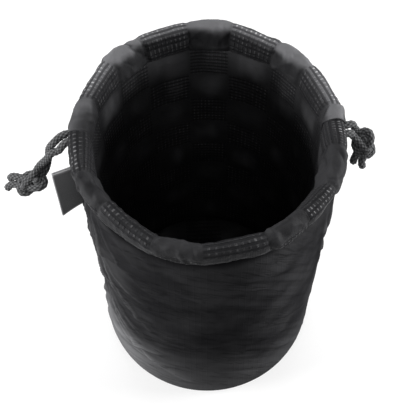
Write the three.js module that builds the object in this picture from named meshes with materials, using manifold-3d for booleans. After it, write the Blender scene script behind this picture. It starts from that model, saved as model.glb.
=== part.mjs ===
// A padded drawstring pouch for a camera lens, in millimetres with +Z up.
// The origin is the centre of the base on the floor, and the front faces -Y.
// From outside in it is a nylon shell, foam pads and a lining. The lining's cloth also
// makes the drawstring collar, and two cords run round in it, one drawn from each side.

import * as THREE from 'three';
import { mergeVertices } from 'three/addons/utils/BufferGeometryUtils.js';
import Module from 'manifold-3d';

const wasm = await Module();
wasm.setup();

// Driving dimensions
const totalHeight = 150;
const clearance = 0.3;

const shellTopDiameter = 93;
const shellBaseDiameter = 89.4;
const bottomEdgeRadius = 6;
const shellThickness = 0.6;
const hemLift = 0.3;
const seamSetForward = 5.5;

const foamThickness = 4;
const baseFoamThickness = 5;
const liningThickness = 0.6;

const seamTapeWidth = 12;
const seamTapeThickness = 0.6;

const rimDiameter = 96;
const collarWidth = 8;
const collarHeight = 10;
const collarThickness = 0.6;
const exitSetBack = 2.2;
const exitSlit = 6;

const cordDiameter = 2.7;
const cordSpacing = 3;
const channelLead = 7.5;
const pairSpacing = 2.8;
const knotCoreDiameter = 5;
const knuckleSwell = 1.1;
const tailTurn = 0.7;
const tailSplay = 0.5;

const labelHeight = 27;
const labelReach = 8.5;
const labelThickness = 0.5;
const labelLean = 18;
const labelStandOff = 0.6;

// How finely the round forms are cut
const halfSteps = 24;
const discSteps = 48;
const edgeSteps = 4;
const cordSides = 8;
const knotSteps = 36;
const pathSteps = 180;
const knotEases = 2;
const collarSides = 12;
const strandRings = 1.3;
const knotRings = 1.6;

// Sizes worked out from the driving dimensions
const degree = Math.PI / 180;
const collarBottom = totalHeight - collarHeight;
const wallTop = collarBottom - clearance;
const shellTopRadius = shellTopDiameter / 2;
const shellBaseRadius = shellBaseDiameter / 2;
const cordRadius = cordDiameter / 2;
const collarRadius = (rimDiameter - collarWidth) / 2;
const foamInset = shellThickness + clearance;
const liningInset = foamInset + foamThickness + clearance;
const baseFoamTop = shellThickness + clearance + baseFoamThickness;
const innerBottom = baseFoamTop + clearance;
const seamAngle = Math.asin(seamSetForward / shellTopRadius);
const exitAngle = Math.asin(exitSetBack / collarRadius);
const slitAngle = Math.asin(exitSlit / 2 / collarRadius);
const lowerLane = collarBottom + collarThickness + clearance + cordRadius;
const upperLane = lowerLane + cordDiameter + clearance;

const materials = {
  shell: new THREE.MeshStandardMaterial({ color: 0x17181a, roughness: 0.55, metalness: 0 }),
  foam: new THREE.MeshStandardMaterial({ color: 0x3a3b3d, roughness: 0.95, metalness: 0 }),
  lining: new THREE.MeshStandardMaterial({ color: 0x1b1c1e, roughness: 0.6, metalness: 0 }),
  tape: new THREE.MeshStandardMaterial({ color: 0x202124, roughness: 0.9, metalness: 0 }),
  cord: new THREE.MeshStandardMaterial({ color: 0x26282b, roughness: 0.8, metalness: 0 }),
  label: new THREE.MeshStandardMaterial({ color: 0x2c2d30, roughness: 0.8, metalness: 0 }),
};

const pouch = new THREE.Group();

function addPiece(name, geometry, material) {
  const piece = new THREE.Mesh(geometry, materials[material]);
  piece.name = name;
  pouch.add(piece);
}

// Solids for the joins and cuts
function toSolid(geometry) {
  const bare = geometry.clone();
  bare.deleteAttribute('normal');
  bare.deleteAttribute('uv');
  const merged = mergeVertices(bare, 1e-4);
  const vertProperties = new Float32Array(merged.attributes.position.array);
  const triVerts = new Uint32Array(merged.index.array);
  return new wasm.Manifold(new wasm.Mesh({ numProp: 3, vertProperties, triVerts }));
}

function toGeometry(solid) {
  const mesh = solid.getMesh();
  const geometry = new THREE.BufferGeometry();
  geometry.setAttribute('position', new THREE.BufferAttribute(mesh.vertProperties, 3));
  geometry.setIndex(new THREE.BufferAttribute(mesh.triVerts, 1));
  geometry.computeVertexNormals();
  return geometry;
}

// Where rounds cross, the join can leave loose slivers, so only the main body is kept
function mainBody(solid) {
  const bodies = solid.decompose();
  return bodies.reduce((main, body) => (body.volume() > main.volume() ? body : main));
}

// A closed section in (radius, height), anticlockwise, turned about Z between two angles.
// A hole in the section makes a tube that is open at both ends.
function turnSection(section, from, to, steps, hole = []) {
  const points = [...section, ...hole];
  const loops = [{ first: 0, count: section.length }];
  if (hole.length > 0) loops.push({ first: section.length, count: hole.length });
  const positions = [];
  for (let step = 0; step <= steps; step += 1) {
    const angle = from + ((to - from) * step) / steps;
    for (const point of points) {
      positions.push(point.x * Math.cos(angle), point.x * Math.sin(angle), point.y);
    }
  }
  const faces = [];
  for (let step = 0; step < steps; step += 1) {
    const here = step * points.length;
    const next = here + points.length;
    for (const { first, count } of loops) {
      for (let i = 0; i < count; i += 1) {
        const a = first + i;
        const b = first + ((i + 1) % count);
        faces.push(here + a, next + a, here + b);
        faces.push(here + b, next + a, next + b);
      }
    }
  }
  const last = steps * points.length;
  const cap = THREE.ShapeUtils.triangulateShape(section, hole.length > 0 ? [hole] : []);
  for (const [a, b, c] of cap) {
    const turnsLeft = THREE.ShapeUtils.area([points[a], points[b], points[c]]) > 0;
    const [p, q] = turnsLeft ? [b, c] : [c, b];
    faces.push(a, p, q);
    faces.push(last + a, last + q, last + p);
  }
  const geometry = new THREE.BufferGeometry();
  geometry.setAttribute('position', new THREE.Float32BufferAttribute(positions, 3));
  geometry.setIndex(faces);
  geometry.computeVertexNormals();
  return geometry;
}

// The wall's line at a depth inside the shell's outer face, from the rounded bottom edge up
function wallLine(inset, low, high) {
  const radius = bottomEdgeRadius - inset;
  const centre = shellBaseRadius - bottomEdgeRadius;
  const slope = (shellTopRadius - shellBaseRadius) / (wallTop - bottomEdgeRadius);
  const foot = shellBaseRadius - inset;
  const straight = (z) => new THREE.Vector2(foot + (z - bottomEdgeRadius) * slope, z);
  if (low >= bottomEdgeRadius) return [straight(low), straight(high)];
  const turnAt = (z) => Math.asin(Math.max((z - bottomEdgeRadius) / radius, -1));
  const start = turnAt(low);
  const end = high < bottomEdgeRadius ? turnAt(high) : 0;
  const line = [];
  for (let i = 0; i <= edgeSteps; i += 1) {
    const turn = start + ((end - start) * i) / edgeSteps;
    line.push(new THREE.Vector2(
      centre + radius * Math.cos(turn),
      bottomEdgeRadius + radius * Math.sin(turn),
    ));
  }
  if (high > bottomEdgeRadius) line.push(straight(high));
  return line;
}

function wallSection(outerInset, innerInset, outerLow, innerLow, top) {
  const inner = wallLine(innerInset, innerLow, top).reverse();
  return [...wallLine(outerInset, outerLow, top), ...inner];
}

// Half of the wall, between the side seams. The seams lie a little in front of the middle.
function wallHalf(section, isFront, gap) {
  const edge = gap / 2 / shellBaseRadius;
  if (isFront) {
    return turnSection(section, Math.PI + seamAngle + edge, 2 * Math.PI - seamAngle - edge, halfSteps);
  }
  return turnSection(section, -seamAngle + edge, Math.PI + seamAngle - edge, halfSteps);
}

// A flat disc piece of the base
function disc(radius, low, high) {
  const outline = [
    new THREE.Vector2(0, low),
    new THREE.Vector2(radius, low),
    new THREE.Vector2(radius, high),
    new THREE.Vector2(0, high),
  ];
  return new THREE.LatheGeometry(outline, discSteps).rotateX(Math.PI / 2);
}

// Shell: two panels that turn under at the bottom, and a base disc between their edges
// The panels' lower edge stays just off the floor, so the pouch stands on its base disc.
const hemShare = 1 - hemLift / bottomEdgeRadius;
const innerHem = bottomEdgeRadius - (bottomEdgeRadius - shellThickness) * hemShare;
const shellSection = wallSection(0, shellThickness, hemLift, innerHem, wallTop);
addPiece('outer_front_panel', wallHalf(shellSection, true, clearance), 'shell');
addPiece('outer_back_panel', wallHalf(shellSection, false, clearance), 'shell');
const shellBaseEdge = wallLine(shellThickness, innerHem, wallTop)[0].x - clearance;
addPiece('outer_base', disc(shellBaseEdge, 0, shellThickness), 'shell');

// Seam tapes cover the two side seams from inside, and the foam is relieved behind them
function tapeStrip(side, outerInset, innerInset, width, low, high) {
  const middle = side > 0 ? -seamAngle : Math.PI + seamAngle;
  const reach = width / 2 / shellBaseRadius;
  const section = wallSection(outerInset, innerInset, low, low, high);
  return turnSection(section, middle - reach, middle + reach, edgeSteps);
}

const tapeInset = foamInset + seamTapeThickness;
const sides = [['left', -1], ['right', 1]];
for (const [name, side] of sides) {
  const tape = tapeStrip(side, foamInset, tapeInset, seamTapeWidth, innerBottom, wallTop);
  addPiece(`${name}_seam_tape`, tape, 'tape');
}

// Foam: two wall pads standing on a base pad with a rounded lower edge
const foamInner = foamInset + foamThickness;
const foamSection = wallSection(foamInset, foamInner, innerBottom, innerBottom, wallTop);
const reliefWidth = seamTapeWidth + 2 * clearance;
const reliefs = sides.map(([, side]) => toSolid(tapeStrip(
  side,
  shellThickness,
  tapeInset + clearance,
  reliefWidth,
  innerBottom - clearance,
  totalHeight,
)));

function foamPad(isFront) {
  let pad = toSolid(wallHalf(foamSection, isFront, clearance));
  for (const relief of reliefs) pad = pad.subtract(relief);
  return toGeometry(pad);
}

addPiece('front_foam_pad', foamPad(true), 'foam');
addPiece('back_foam_pad', foamPad(false), 'foam');
const baseFoamOutline = [
  new THREE.Vector2(0, foamInset),
  ...wallLine(foamInset, foamInset, baseFoamTop),
  new THREE.Vector2(0, baseFoamTop),
];
addPiece(
  'base_foam_pad',
  new THREE.LatheGeometry(baseFoamOutline, discSteps).rotateX(Math.PI / 2),
  'foam',
);

// Lining: two panels and a base disc
const liningInner = liningInset + liningThickness;
const liningSection = wallSection(liningInset, liningInner, innerBottom, innerBottom, wallTop);
addPiece('front_lining_panel', wallHalf(liningSection, true, clearance), 'lining');
addPiece('back_lining_panel', wallHalf(liningSection, false, clearance), 'lining');
const facetDepth = Math.cos((Math.PI + 2 * seamAngle) / halfSteps / 2);
const liningBaseEdge = wallLine(liningInner, innerBottom, wallTop)[0].x * facetDepth - clearance;
const liningBase = disc(liningBaseEdge, innerBottom, innerBottom + liningThickness);
addPiece('lining_base', liningBase, 'lining');

// Collar: a tunnel of cloth with a flat foot and a round crest, in halves between the cord exits
function collarSection(inset) {
  const points = [];
  const middle = collarBottom + collarHeight / 2;
  for (let i = 0; i < collarSides; i += 1) {
    const turn = (i / collarSides) * 2 * Math.PI;
    const swell = Math.sin(turn) < 0 ? 0.45 : 0.9;
    const across = Math.sign(Math.cos(turn)) * Math.abs(Math.cos(turn)) ** swell;
    const up = Math.sign(Math.sin(turn)) * Math.abs(Math.sin(turn)) ** swell;
    points.push(new THREE.Vector2(
      collarRadius + across * (collarWidth / 2 - inset),
      middle + up * (collarHeight / 2 - inset),
    ));
  }
  return points;
}

const channelHole = collarSection(collarThickness).reverse();
const rightEnd = exitAngle + slitAngle;
addPiece('front_collar', turnSection(
  collarSection(0),
  Math.PI - exitAngle + slitAngle,
  2 * Math.PI + exitAngle - slitAngle,
  halfSteps,
  channelHole,
), 'lining');
addPiece('back_collar', turnSection(
  collarSection(0),
  rightEnd,
  Math.PI - rightEnd,
  halfSteps,
  channelHole,
), 'lining');

// Cords: each runs right round the tunnel in its own lane and both its ends leave at one side
function circleSection(radius, height) {
  const points = [];
  for (let i = 0; i < cordSides; i += 1) {
    const turn = (i / cordSides) * 2 * Math.PI;
    points.push(new THREE.Vector2(
      radius + cordRadius * Math.cos(turn),
      height + cordRadius * Math.sin(turn),
    ));
  }
  return points;
}

const leadAngle = channelLead / collarRadius;
const meetGap = clearance / 2 / collarRadius;
const leftExit = Math.PI - exitAngle;
const rightExit = 2 * Math.PI + exitAngle;
const cordRuns = [
  ['left_cord_front_run', upperLane, leftExit + leadAngle, rightExit - meetGap],
  ['left_cord_back_run', upperLane, exitAngle + meetGap, leftExit - leadAngle],
  ['right_cord_front_run', lowerLane, leftExit + meetGap, rightExit - leadAngle],
  ['right_cord_back_run', lowerLane, exitAngle + leadAngle, leftExit - meetGap],
];
for (const [name, lane, from, to] of cordRuns) {
  addPiece(name, turnSection(circleSection(collarRadius, lane), from, to, halfSteps), 'cord');
}

// Each side has two strands that leave the tunnel together and share one knot.
// The points are from the exit, out along the side's own direction, towards +Y, and up.
const knots = {
  left: {
    side: -1,
    lane: upperLane,
    middle: [15.55, -6.83, -18.14],
    axis: [8.6, 0.1, -12.3],
    roll: 343,
    pairStart: 190,
    free: {
      front: [[2.8, -2.4, -2.1], [3.9, -2.6, -4], [6.6, -2.6, -5.8], [9.1, -2.7, -9.9]],
      back: [[2.7, 1.3, -0.8], [5.7, 0.1, -3.3], [7.7, 0.4, -7.5], [8.7, 0.1, -13.4]],
    },
    scale: [1.1, 1.06, 0.34],
    tail: 4,
  },
  right: {
    side: 1,
    lane: lowerLane,
    middle: [8.05, -1.55, -7.98],
    axis: [1.8, -1.1, -8.3],
    roll: 206.6,
    pairStart: 205,
    free: {
      front: [[2.8, -1, -1.1]],
      back: [[3.6, 2.6, -0.9]],
    },
    scale: [0.92, 0.92, 0.31],
    tail: 3,
  },
};

// Where the overhand knot's curve starts, and where along it the bends are
const entryTurn = 2.06;
const bendShare = 0.21;

// The overhand knot is a long trefoil along local Z: out through, back, and out again.
// Its two cords lie side by side along that line.
function knotPath(knot, half) {
  const [wide, deep, long] = knot.scale;
  const beside = new THREE.Vector3(1, 0, 0);
  const path = [];
  let offset;
  for (let i = 0; i <= pathSteps; i += 1) {
    const share = (2 * i) / pathSteps - 1;
    const t = entryTurn * share;
    const point = new THREE.Vector3(
      wide * (t ** 3 - 3 * t),
      deep * (t ** 4 - 4 * t ** 2 + 2),
      long * (t ** 5 - 10 * t),
    );
    const ahead = new THREE.Vector3(
      wide * (3 * t ** 2 - 3),
      deep * (4 * t ** 3 - 8 * t),
      long * (5 * t ** 4 - 10),
    ).normalize();
    beside.addScaledVector(ahead, -beside.dot(ahead)).normalize();
    offset = beside.clone().applyAxisAngle(ahead, knot.pairStart * degree);
    if (i % (pathSteps / knotSteps) === 0) {
      path.push(point.addScaledVector(offset, (half * pairSpacing) / 2));
    }
  }
  for (let ease = 0; ease < knotEases; ease += 1) {
    const before = path.map((point) => point.clone());
    for (let i = 1; i < knotSteps; i += 1) {
      path[i].multiplyScalar(2).add(before[i - 1]).add(before[i + 1]).divideScalar(4);
    }
  }
  const last = path[knotSteps];
  const leave = last.clone().sub(path[knotSteps - 1]).normalize();
  for (const share of [0.5, 1]) {
    const ahead = leave.clone().multiplyScalar(1 - tailTurn * share);
    ahead.z += 1 - tailTurn * (1 - share);
    const tail = last.clone().addScaledVector(ahead.normalize(), knot.tail * share);
    path.push(tail.addScaledVector(offset, half * tailSplay * share));
  }
  return path;
}

function knotFrame(knot, exit) {
  const axis = new THREE.Vector3(...knot.axis).normalize();
  axis.x *= knot.side;
  const turn = new THREE.Quaternion().setFromUnitVectors(new THREE.Vector3(0, 0, 1), axis);
  const roll = new THREE.Quaternion().setFromAxisAngle(axis, knot.roll * degree);
  const [out, back, up] = knot.middle;
  const middle = exit.clone().add(new THREE.Vector3(knot.side * out, back, up));
  return new THREE.Matrix4().compose(middle, roll.multiply(turn), new THREE.Vector3(1, 1, 1));
}

// A length of a curve, measured along it
class CurveLength extends THREE.Curve {
  constructor(whole, from, to) {
    super();
    Object.assign(this, { whole, from, to });
  }

  getPoint(t, target = new THREE.Vector3()) {
    const along = (this.from + (this.to - this.from) * t) / this.whole.getLength();
    return this.whole.getPointAt(Math.min(along, 1), target);
  }
}

const circle = new THREE.Shape();
circle.absarc(0, 0, cordRadius, 0, 2 * Math.PI);

function tube(curve, steps) {
  const outline = new THREE.Shape(circle.getSpacedPoints(cordSides).slice(0, cordSides));
  return new THREE.ExtrudeGeometry(outline, { steps, extrudePath: curve, bevelEnabled: false });
}

// One cord end: from the tunnel out at the exit, through the knot to its cut tail
function cordEnd(knot, half) {
  const away = knot.side > 0 ? exitAngle : Math.PI - exitAngle;
  const towards = knot.side * half;
  const inTunnel = (arc, outward) => {
    const angle = away + (towards * arc) / collarRadius;
    const radius = collarRadius + outward;
    return new THREE.Vector3(radius * Math.cos(angle), radius * Math.sin(angle), knot.lane);
  };
  const mouth = cordSpacing / 2;
  const exit = inTunnel(0, collarWidth / 2);
  const points = [
    inTunnel(channelLead - clearance, 0),
    inTunnel((channelLead + mouth) / 2, 0.5),
    inTunnel(mouth + 0.5, collarWidth / 4),
    inTunnel(mouth, collarWidth / 2 + 0.4),
  ];
  const hand = half > 0 ? 'back' : 'front';
  for (const [out, back, up] of knot.free[hand]) {
    points.push(exit.clone().add(new THREE.Vector3(knot.side * out, back, up)));
  }
  const frame = knotFrame(knot, exit);
  const beforeKnot = points.length;
  for (const point of knotPath(knot, half)) points.push(point.applyMatrix4(frame));
  const curve = new THREE.CatmullRomCurve3(points, false, 'centripetal');
  const divisions = 20;
  curve.arcLengthDivisions = divisions * (points.length - 1);
  const lengthAt = (index) => curve.getLengths()[divisions * index];
  const bend = Math.round(knotSteps * bendShare);
  const marks = [0, bend, knotSteps - bend].map((step) => lengthAt(beforeKnot + step));
  marks.push(curve.getLength());
  return { curve, marks, frame };
}

// The tied length is joined from three stretches that meet at its two bends
function tiedCord({ curve, marks }) {
  let solid = null;
  for (let i = 1; i < marks.length; i += 1) {
    const length = marks[i] - marks[i - 1];
    const steps = Math.ceil((length / cordDiameter) * knotRings);
    const stretch = toSolid(tube(new CurveLength(curve, marks[i - 1], marks[i]), steps));
    solid = solid ? solid.add(stretch) : stretch;
  }
  for (const mark of marks.slice(1, 3)) {
    const at = curve.getPointAt(mark / curve.getLength());
    const knuckle = new THREE.IcosahedronGeometry(cordRadius * knuckleSwell, 1);
    solid = solid.add(toSolid(knuckle.translate(at.x, at.y, at.z)));
  }
  return solid;
}

for (const [name, knot] of Object.entries(knots)) {
  const ends = { front: cordEnd(knot, -1), back: cordEnd(knot, 1) };
  const core = new THREE.IcosahedronGeometry(knotCoreDiameter / 2, 1).applyMatrix4(ends.front.frame);
  let knotSolid = toSolid(core);
  for (const [hand, end] of Object.entries(ends)) {
    const [entry] = end.marks;
    const strandSteps = Math.ceil((entry / cordDiameter) * strandRings);
    const strand = new CurveLength(end.curve, 0, entry - clearance);
    addPiece(`${name}_${hand}_strand`, tube(strand, strandSteps), 'cord');
    knotSolid = knotSolid.add(tiedCord(end));
  }
  addPiece(`${name}_knot`, toGeometry(mainBody(knotSolid)), 'cord');
}

// Label: a folded ribbon sewn into the left seam, with its fold outwards
function foldedLabel() {
  const half = labelThickness + clearance / 2;
  const inside = clearance / 2;
  const bend = labelReach - half;
  const outline = new THREE.Shape();
  outline.moveTo(0, -half);
  outline.lineTo(bend, -half);
  outline.absarc(bend, 0, half, -Math.PI / 2, Math.PI / 2, false);
  outline.lineTo(0, half);
  outline.lineTo(0, inside);
  outline.lineTo(bend, inside);
  outline.absarc(bend, 0, inside, Math.PI / 2, -Math.PI / 2, true);
  outline.lineTo(0, -inside);
  return new THREE.ExtrudeGeometry(outline, {
    depth: labelHeight,
    bevelEnabled: false,
    curveSegments: edgeSteps,
  });
}

const labelTop = wallTop - clearance;
const labelAngle = Math.PI + seamAngle;
const labelGroup = new THREE.Group();
labelGroup.position.set(
  (shellTopRadius + labelStandOff) * Math.cos(labelAngle),
  (shellTopRadius + labelStandOff) * Math.sin(labelAngle),
  labelTop - labelHeight,
);
labelGroup.rotation.z = labelAngle + labelLean * degree;
const label = new THREE.Mesh(foldedLabel(), materials.label);
label.name = 'side_label';
labelGroup.add(label);
pouch.add(labelGroup);

export default pouch;
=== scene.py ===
import bpy
import math
import numpy as np
from mathutils import Matrix, Quaternion, Vector


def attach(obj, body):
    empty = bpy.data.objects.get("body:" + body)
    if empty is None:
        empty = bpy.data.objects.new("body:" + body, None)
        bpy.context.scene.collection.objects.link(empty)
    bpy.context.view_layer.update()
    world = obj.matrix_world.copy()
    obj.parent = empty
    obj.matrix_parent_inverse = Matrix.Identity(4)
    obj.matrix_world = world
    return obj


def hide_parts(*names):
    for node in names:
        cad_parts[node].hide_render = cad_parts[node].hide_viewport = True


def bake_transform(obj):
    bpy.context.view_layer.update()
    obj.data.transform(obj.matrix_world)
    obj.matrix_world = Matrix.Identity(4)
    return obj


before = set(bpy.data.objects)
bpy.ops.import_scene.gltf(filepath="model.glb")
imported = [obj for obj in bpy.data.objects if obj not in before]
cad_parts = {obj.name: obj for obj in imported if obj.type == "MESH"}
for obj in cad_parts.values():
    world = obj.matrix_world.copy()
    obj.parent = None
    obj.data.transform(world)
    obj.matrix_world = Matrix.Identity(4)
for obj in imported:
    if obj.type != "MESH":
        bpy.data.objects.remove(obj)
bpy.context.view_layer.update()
mm = 0.001


# Helpers for meshes

def deselect():
    bpy.ops.object.select_all(action="DESELECT")


def makeActive(obj):
    deselect()
    bpy.context.view_layer.objects.active = obj
    obj.select_set(True)


def named(name):  # the shape just added, under its own name and with its place in its mesh
    obj = bpy.context.object
    obj.name = obj.data.name = name
    bpy.ops.object.transform_apply(location=True, rotation=True, scale=True)
    return obj


def applyModifier(obj, kind, **settings):
    makeActive(obj)
    bpy.ops.object.modifier_add(type=kind)
    added = obj.modifiers[-1]
    for key, value in settings.items():
        setattr(added, key, value)
    bpy.ops.object.modifier_apply(modifier=added.name)


def thicken(obj, thickness, offset=-1):  # thickness in millimetres
    applyModifier(obj, "SOLIDIFY", thickness=thickness * mm, offset=offset)


def readPoints(obj):
    points = np.zeros(len(obj.data.vertices) * 3)
    obj.data.vertices.foreach_get("co", points)
    return points.reshape(-1, 3)


def writePoints(obj, points):
    obj.data.vertices.foreach_set("co", np.asarray(points, float).ravel())
    obj.data.update()


def flatCloth(name, across, along):  # a flat cut of cloth, with each point's place on it from 0 to 1
    deselect()
    bpy.ops.mesh.primitive_grid_add(x_subdivisions=across, y_subdivisions=along, size=1)
    obj = named(name)
    obj.data.uv_layers[0].name = "cloth"
    points = readPoints(obj)
    return obj, points[:, 0] + 0.5, points[:, 1] + 0.5


def clothMap(obj, acrossValues, alongValues):  # the cloth's own map, from one value per point
    corners = np.zeros(len(obj.data.loops), int)
    obj.data.loops.foreach_get("vertex_index", corners)
    places = np.stack([acrossValues[corners], alongValues[corners]], 1)
    obj.data.uv_layers["cloth"].data.foreach_set("uv", places.ravel())


def pointValues(obj, name, values):  # an attribute that the materials read
    layer = obj.data.attributes.new(name, "FLOAT", "POINT")
    layer.data.foreach_set("value", np.asarray(values, np.float32))


# Helpers for shapes

def smoothStep(low, high, x):
    t = np.clip((x - low) / (high - low), 0, 1)
    return t * t * (3 - 2 * t)


def bell(x, width):
    return np.exp(-(x / width) ** 2)


def turnFrom(angle, middle):  # degrees, from -180 to 180
    return (angle - middle + 180) % 360 - 180


def softNoise(x, y, seed, cells=64):  # smooth lattice noise from -1 to 1
    table = np.random.default_rng(seed).uniform(-1, 1, (cells, cells))
    left, low = np.floor(x).astype(int), np.floor(y).astype(int)
    fx, fy = x - left, y - low
    fx, fy = fx * fx * (3 - 2 * fx), fy * fy * (3 - 2 * fy)
    left, low, right, top = left % cells, low % cells, (left + 1) % cells, (low + 1) % cells
    lower = table[left, low] * (1 - fx) + table[right, low] * fx
    upper = table[left, top] * (1 - fx) + table[right, top] * fx
    return lower * (1 - fy) + upper * fy


def roundCurve(points, perSpan):  # centripetal Catmull-Rom through all the points
    points = [np.asarray(p, float) for p in points]
    chain = [2 * points[0] - points[1], *points, 2 * points[-1] - points[-2]]
    line = []
    for a, b, c, d in zip(chain, chain[1:], chain[2:], chain[3:]):
        k0, k1, k2 = (max(np.linalg.norm(q - p) ** 0.5, 1e-9) for p, q in ((a, b), (b, c), (c, d)))
        startPull = ((b - a) / k0 - (c - a) / (k0 + k1) + (c - b) / k1) * k1
        endPull = ((c - b) / k1 - (d - b) / (k1 + k2) + (d - c) / k2) * k1
        for t in np.arange(perSpan) / perSpan:
            t2, t3 = t * t, t * t * t
            line.append((2 * t3 - 3 * t2 + 1) * b + (t3 - 2 * t2 + t) * startPull
                        + (3 * t2 - 2 * t3) * c + (t3 - t2) * endPull)
    line.append(points[-1])
    return np.array(line)


def evenly(line, step):  # the same line with its points a step apart
    lengths = np.concatenate([[0], np.cumsum(np.linalg.norm(np.diff(line, axis=0), axis=1))])
    places = np.linspace(0, lengths[-1], max(2, int(round(lengths[-1] / step)) + 1))
    return np.stack([np.interp(places, lengths, line[:, k]) for k in range(3)], 1), lengths[-1]


def carriedAlong(first, ahead):  # a direction carried along a line without twist
    normals = [first]
    for step in ahead:
        carried = normals[-1] - step * (normals[-1] @ step)
        normals.append(carried / np.linalg.norm(carried))
    return np.array(normals)


# Camera, as the photograph was taken
cameraLook = {"distance": 0.53771, "elevation": 67.127, "pitch": 62.62, "turn": -3.0, "lens": 101.45,
              "sensor": 36, "shift": 0.0021}
elevation, turn = math.radians(cameraLook["elevation"]), math.radians(cameraLook["turn"])
reachBack, reachUp = (cameraLook["distance"] * share for share in (math.cos(elevation), math.sin(elevation)))
deselect()
bpy.ops.object.camera_add(
    location=(reachBack * math.sin(turn), -reachBack * math.cos(turn), reachUp),
    rotation=(math.radians(90 - cameraLook["pitch"]), 0, turn))
camera = bpy.context.object
camera.name = "camera"
camera.data.sensor_fit = "HORIZONTAL"
camera.data.sensor_width = cameraLook["sensor"]
camera.data.lens = cameraLook["lens"]
camera.data.shift_x = cameraLook["shift"]
bpy.context.scene.camera = camera
bpy.context.scene.view_settings.view_transform = "Standard"
print("camera placed")


# The frame's own sizes, in millimetres, which the soft pieces are fitted to
wall = {"topRadius": 46.5, "baseRadius": 44.7, "edgeRound": 6.0, "top": 139.7, "seamForward": 5.5}
tunnel = {"radius": 44.0, "outside": 4.0, "exitBack": 2.2, "halfSlit": 3.0}
clothRadius = 46.0  # where the shell's cloth is measured
seamTurn = math.degrees(math.asin(wall["seamForward"] / wall["topRadius"]))
exitTurn = math.degrees(math.asin(tunnel["exitBack"] / tunnel["radius"]))
slitTurn = math.degrees(math.asin(tunnel["halfSlit"] / tunnel["radius"]))
leftExit, rightExit = 180 - exitTurn, 360 + exitTurn
leftSeam, rightSeam = 180 + seamTurn, 360 - seamTurn
sagLook = {"depth": 2.3, "angle": 196, "spread": 24, "height": 54, "rise": 30}


def wallRadius(z, inset=0.0):
    z = np.asarray(z, float)
    rounding = wall["edgeRound"]
    slope = (wall["topRadius"] - wall["baseRadius"]) / (wall["top"] - rounding)
    straight = wall["baseRadius"] + (z - rounding) * slope
    below = np.clip(rounding - z, 0, rounding)
    curved = wall["baseRadius"] - rounding + np.sqrt(np.maximum(rounding ** 2 - below ** 2, 0))
    return np.where(z >= rounding, straight, curved) - inset


def sideSag(angle, z):  # how far the wall sinks in at the lower left, in millimetres
    around = bell(turnFrom(angle, sagLook["angle"]), sagLook["spread"])
    return sagLook["depth"] * around * bell(z - sagLook["height"], sagLook["rise"])


def alongCloth(angle):  # degrees to millimetres round the shell
    return np.radians(angle) * clothRadius


def aroundZ(angle, radius, z):  # degrees and millimetres to metres
    a = np.radians(angle)
    upright = np.broadcast_to(z, np.shape(a))
    return np.stack([radius * np.cos(a) * mm, radius * np.sin(a) * mm, upright * mm], -1)


def drawWithMouth(obj):
    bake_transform(obj)


# Shader nodes: a wire is a value in a node tree, so that sums of nodes read as sums

class Wire:
    def __init__(self, tree, socket):
        self.tree, self.socket = tree, socket

    def __add__(self, other):
        return mathNode("ADD", self, other)

    def __sub__(self, other):
        return mathNode("SUBTRACT", self, other)

    def __rsub__(self, other):
        return mathNode("SUBTRACT", other, self)

    def __mul__(self, other):
        return mathNode("MULTIPLY", self, other)

    def __truediv__(self, other):
        return mathNode("DIVIDE", self, other)


def setSocket(tree, socket, value):  # a wire, a colour or a number
    if isinstance(value, Wire):
        tree.links.new(value.socket, socket)
    else:
        socket.default_value = (*value, 1) if isinstance(value, tuple) else value


def nodeWire(tree, kind, output, values, **settings):  # values by the name or the number of the input
    node = tree.nodes.new("ShaderNode" + kind)
    for key, value in settings.items():
        setattr(node, key, value)
    for key, value in values.items():
        setSocket(tree, node.inputs[key], value)
    return Wire(tree, node.outputs[output])


def mathNode(operation, *values):
    tree = next(value.tree for value in values if isinstance(value, Wire))
    return nodeWire(tree, "Math", 0, dict(enumerate(values)), operation=operation)


def noise(place, scale, detail=2.0, roughness=0.5):
    values = {"Vector": place, "Scale": scale, "Detail": detail, "Roughness": roughness}
    return nodeWire(place.tree, "TexNoise", "Fac", values)


def ramp(value, low, high, toLow=0.0, toHigh=1.0):
    values = {"Value": value, "From Min": low, "From Max": high, "To Min": toLow, "To Max": toHigh}
    return nodeWire(value.tree, "MapRange", "Result", values, interpolation_type="SMOOTHSTEP")


def mixColour(share, low, high):  # by the numbers of the inputs and the output that mix colours
    return nodeWire(share.tree, "Mix", 2, {0: share, 6: low, 7: high}, data_type="RGBA")


def split(place):  # across and along
    across = nodeWire(place.tree, "SeparateXYZ", 0, {0: place})
    return across, Wire(place.tree, across.socket.node.outputs[1])


def clothPlace(tree):
    return nodeWire(tree, "UVMap", "UV", {}, uv_map="cloth")


def objectPlace(tree):
    return nodeWire(tree, "TexCoord", "Object", {})


def stored(tree, name):  # one of the attributes set by pointValues
    return nodeWire(tree, "Attribute", "Fac", {}, attribute_name=name)


# Effects: each is a node group, built once and placed in the materials with their own values

def makeGroup(name, inputs, outputs, build):  # an input of None is a vector, one of three numbers a colour
    tree = bpy.data.node_groups.new(name, "ShaderNodeTree")
    for label, value in inputs.items():
        kind = "Vector" if value is None else "Color" if isinstance(value, tuple) else "Float"
        socket = tree.interface.new_socket(label, in_out="INPUT", socket_type="NodeSocket" + kind)
        if value is not None:
            setSocket(tree, socket, value)
    for label in outputs:
        kind = "Color" if label == "Color" else "Float"
        tree.interface.new_socket(label, in_out="OUTPUT", socket_type="NodeSocket" + kind)
    given, out = tree.nodes.new("NodeGroupInput"), tree.nodes.new("NodeGroupOutput")
    results = build(*(Wire(tree, given.outputs[label]) for label in inputs))
    for label, value in zip(outputs, results):
        setSocket(tree, out.inputs[label], value)
    return tree


def useGroup(tree, used, **values):
    node = tree.nodes.new("ShaderNodeGroup")
    node.node_tree = used
    for label, value in values.items():
        setSocket(tree, node.inputs[label], value)
    return {socket.name: Wire(tree, socket) for socket in node.outputs}


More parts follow.
